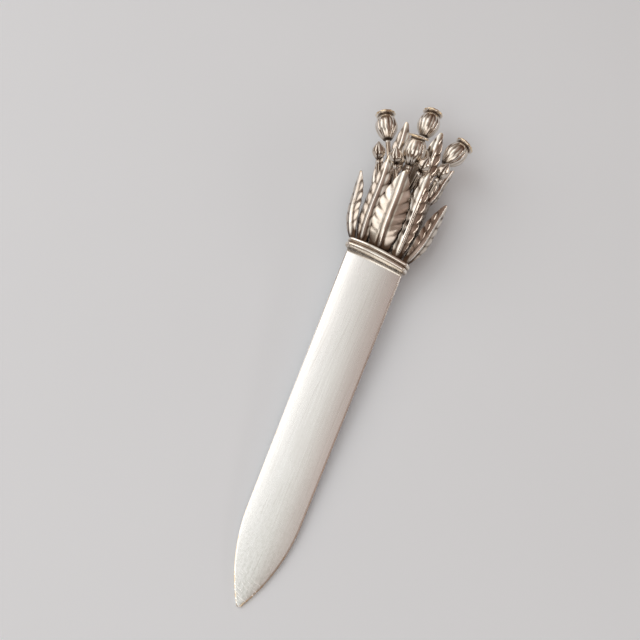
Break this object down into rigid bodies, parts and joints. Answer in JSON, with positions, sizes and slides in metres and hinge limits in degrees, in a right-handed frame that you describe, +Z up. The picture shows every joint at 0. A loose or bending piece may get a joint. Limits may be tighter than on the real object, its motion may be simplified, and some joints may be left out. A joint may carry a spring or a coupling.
{
  "type": "letter opener",
  "caption": "Ornamental silver letter opener: flat pointed blade, slanting reeded collar and a cast handle of leaves, seed heads and buds.",
  "frame": {"origin": "on the table under the middle of the knife's length", "axes": "+X from the blade's tip towards the handle, +Y to the knife's left, +Z up; the knife lies front side up on its tip and its two back buds"},
  "size_m": [0.2109, 0.0429, 0.0297],
  "materials": {
    "blade": "satin silver plate with fine lengthwise scratches",
    "collar": "polished silver plate, darkened in the groove",
    "ornament": "polished silver plate with dark hollows and warm worn tips",
    "cement": "matt brown cutler's cement"
  },
  "bodies": {
    "root": {"back_leaf": "ornament", "back_upper_leaf": "ornament", "blade": "blade", "collar": "collar", "front_head": "ornament", "front_head_stem": "ornament", "front_leaf": "ornament", "handle_core": "collar", "left_back_leaf": "ornament", "left_bud": "ornament", "left_bud_stem": "ornament", "left_flank_leaf": "ornament", "left_foot_bud": "ornament", "left_foot_stem": "ornament", "left_front_bud": "ornament", "left_front_bud_stem": "ornament", "left_head": "ornament", "left_head_stem": "ornament", "left_leaf": "ornament", "left_upper_leaf": "ornament", "left_wing_leaf": "ornament", "right_back_leaf": "ornament", "right_bud": "ornament", "right_bud_stem": "ornament", "right_flank_leaf": "ornament", "right_foot_bud": "ornament", "right_foot_stem": "ornament", "right_front_bud": "ornament", "right_front_bud_stem": "ornament", "right_head": "ornament", "right_head_stem": "ornament", "right_leaf": "ornament", "right_upper_leaf": "ornament", "right_wing_leaf": "ornament", "tang_cement": "cement", "top_head": "ornament", "top_head_stem": "ornament"}
  },
  "joints": []
}
